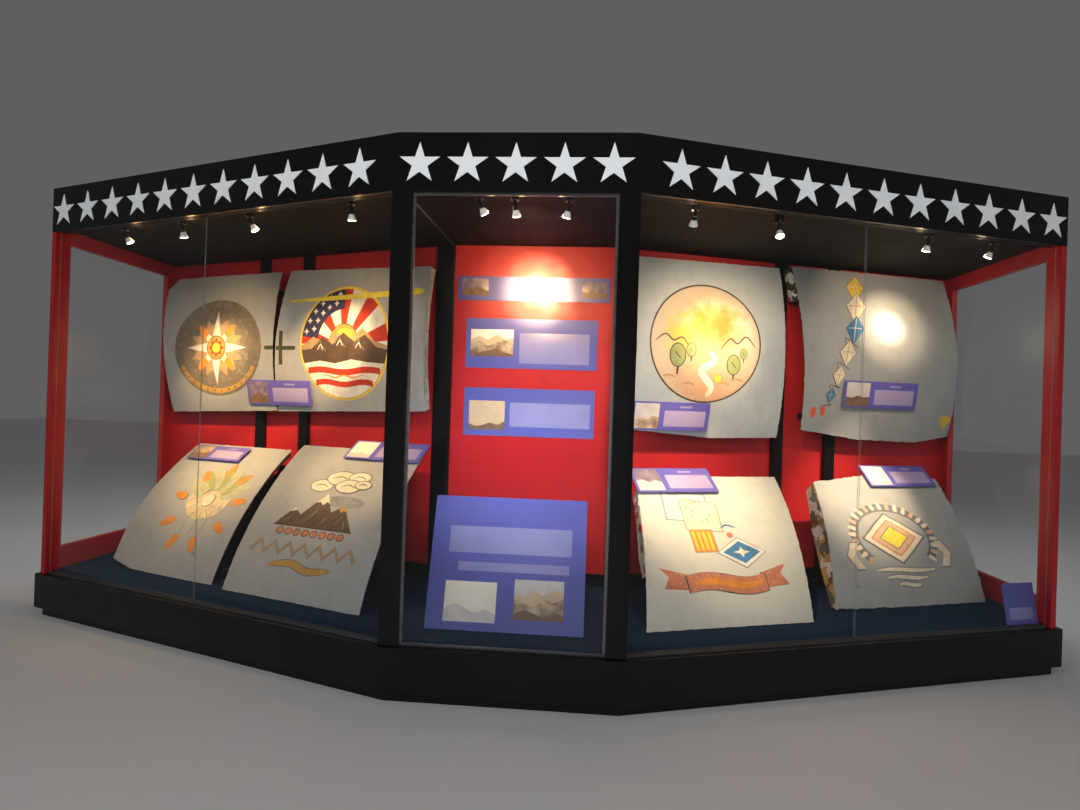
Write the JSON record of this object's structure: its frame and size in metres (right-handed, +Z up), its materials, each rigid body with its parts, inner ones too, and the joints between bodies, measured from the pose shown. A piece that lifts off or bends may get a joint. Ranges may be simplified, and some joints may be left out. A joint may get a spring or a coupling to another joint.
{
  "type": "museum display case with curved aircraft skin panels",
  "caption": "Walk-up glass display case in bays on a black plinth, with sliding panes, tilting lamps, blank signs and cut-out curved aircraft skins on show.",
  "frame": {"origin": "centre of the footprint's bounding box, on the floor", "axes": "+Z up, +X along the length to the viewer's right, +Y from the glass front to the back walls"},
  "size_m": [6.6732, 2.2674, 2.93],
  "materials": {
    "black_paint": "satin black paint on board",
    "ceiling_paint": "matt dark paint on board",
    "red_paint": "matt deep red paint on board",
    "carpet": "dark navy loop carpet",
    "glass": "clear polished glass",
    "track_metal": "satin anodised",
    "skin_paint": "worn flat grey paint",
    "pale_skin_paint": "worn flat pale grey-green paint",
    "sign_print": "satin blue-violet print on board",
    "label_print": "satin lavender print on board",
    "lamp_white": "opal white reflector lamp"
  },
  "bodies": {
    "case": {"plinth_left": "black_paint", "plinth_centre": "black_paint", "plinth_right": "black_paint", "deck_left": "carpet", "deck_centre": "carpet", "deck_right": "carpet", "post_front_left": "black_paint", "post_front_right": "black_paint", "post_back_left": "black_paint", "post_back_right": "black_paint", "fascia_left": "black_paint", "fascia_centre": "black_paint", "fascia_right": "black_paint", "ceiling_left": "ceiling_paint", "ceiling_centre": "ceiling_paint", "ceiling_right": "ceiling_paint", "end_frame_left": "red_paint", "end_frame_right": "red_paint", "end_glass_left": "glass", "end_glass_right": "glass", "back_wall_left": "red_paint", "back_wall_centre": "red_paint", "back_wall_right": "red_paint", "back_frame_left": "black_paint", "back_frame_right": "black_paint", "skirting_centre": "black_paint", "track_left": "track_metal", "track_centre": "track_metal", "track_right": "track_metal", "pane_centre": "glass", "skin_upper_left_outer": "skin_paint", "skin_upper_left_inner": "skin_paint", "skin_upper_right_inner": "skin_paint", "skin_upper_right_outer": "skin_paint", "skin_lower_left_outer": "skin_paint", "skin_lower_left_inner": "skin_paint", "skin_lower_right_inner": "pale_skin_paint", "skin_lower_right_outer": "pale_skin_paint", "trestles_left": "black_paint", "trestles_right": "black_paint", "sign_title": "sign_print", "sign_upper": "sign_print", "sign_lower": "sign_print", "sign_floor": "sign_print", "sign_corner": "sign_print"},
    "pane_left_inner": {"pane_left_inner": "glass"},
    "pane_left_outer": {"pane_left_outer": "glass"},
    "pane_right_inner": {"pane_right_inner": "glass"},
    "pane_right_outer": {"pane_right_outer": "glass"},
    "lamp_centre_1": {"lamp_centre_1": "lamp_white"},
    "lamp_centre_2": {"lamp_centre_2": "lamp_white"},
    "lamp_centre_3": {"lamp_centre_3": "lamp_white"},
    "lamp_left_1": {"lamp_left_1": "lamp_white"},
    "lamp_left_2": {"lamp_left_2": "lamp_white"},
    "lamp_left_3": {"lamp_left_3": "lamp_white"},
    "lamp_left_4": {"lamp_left_4": "lamp_white"},
    "lamp_right_1": {"lamp_right_1": "lamp_white"},
    "lamp_right_2": {"lamp_right_2": "lamp_white"},
    "lamp_right_3": {"lamp_right_3": "lamp_white"},
    "lamp_right_4": {"lamp_right_4": "lamp_white"}
  },
  "joints": [
    {"name": "slide_left_inner", "type": "slide", "parent": "case", "child": "pane_left_inner", "axis": [-0.9455, 0.3256, 0], "range_m": [0, 1.3]},
    {"name": "slide_left_outer", "type": "slide", "parent": "case", "child": "pane_left_outer", "axis": [0.9455, -0.3256, 0], "range_m": [0, 1.3]},
    {"name": "slide_right_inner", "type": "slide", "parent": "case", "child": "pane_right_inner", "axis": [0.9455, 0.3256, 0], "range_m": [0, 1.3]},
    {"name": "slide_right_outer", "type": "slide", "parent": "case", "child": "pane_right_outer", "axis": [-0.9455, -0.3256, 0], "range_m": [0, 1.3]},
    {"name": "tilt_left_1", "type": "hinge", "parent": "case", "child": "lamp_left_1", "pos_m": [-0.94548, -0.86357, 2.611], "axis": [0.9816, -0.1908, 0], "range_deg": [-48, 50]},
    {"name": "tilt_left_2", "type": "hinge", "parent": "case", "child": "lamp_left_2", "pos_m": [-1.66219, -0.61679, 2.606], "axis": [0.1908, -0.9816, 0], "range_deg": [-68, 30]},
    {"name": "tilt_left_3", "type": "hinge", "parent": "case", "child": "lamp_left_3", "pos_m": [-2.21248, -0.42731, 2.613], "axis": [0.8746, -0.4848, 0], "range_deg": [-50, 48]},
    {"name": "tilt_left_4", "type": "hinge", "parent": "case", "child": "lamp_left_4", "pos_m": [-2.72779, -0.24987, 2.612], "axis": [0.3584, -0.9336, 0], "range_deg": [-68, 30]},
    {"name": "tilt_right_1", "type": "hinge", "parent": "case", "child": "lamp_right_1", "pos_m": [0.94359, -0.86422, 2.601], "axis": [0.9962, 0.0872, 0], "range_deg": [-76, 22]},
    {"name": "tilt_right_2", "type": "hinge", "parent": "case", "child": "lamp_right_2", "pos_m": [1.43148, -0.69623, 2.586], "axis": [0.9998, -0.0174, 0], "range_deg": [-16, 82]},
    {"name": "tilt_right_3", "type": "hinge", "parent": "case", "child": "lamp_right_3", "pos_m": [2.39685, -0.36382, 2.61], "axis": [0.9063, 0.4226, 0], "range_deg": [-52, 46]},
    {"name": "tilt_right_4", "type": "hinge", "parent": "case", "child": "lamp_right_4", "pos_m": [2.85921, -0.20462, 2.612], "axis": [0.6561, 0.7547, 0], "range_deg": [-64, 34]},
    {"name": "tilt_centre_1", "type": "hinge", "parent": "case", "child": "lamp_centre_1", "pos_m": [-0.205, -0.98672, 2.611], "axis": [0.5, -0.866, 0], "range_deg": [-70, 28]},
    {"name": "tilt_centre_2", "type": "hinge", "parent": "case", "child": "lamp_centre_2", "pos_m": [-0.014, -0.98672, 2.606], "axis": [0.866, -0.5, 0], "range_deg": [-54, 44]},
    {"name": "tilt_centre_3", "type": "hinge", "parent": "case", "child": "lamp_centre_3", "pos_m": [0.274, -0.98672, 2.602], "axis": [0.6428, 0.766, 0], "range_deg": [-56, 42]}
  ]
}
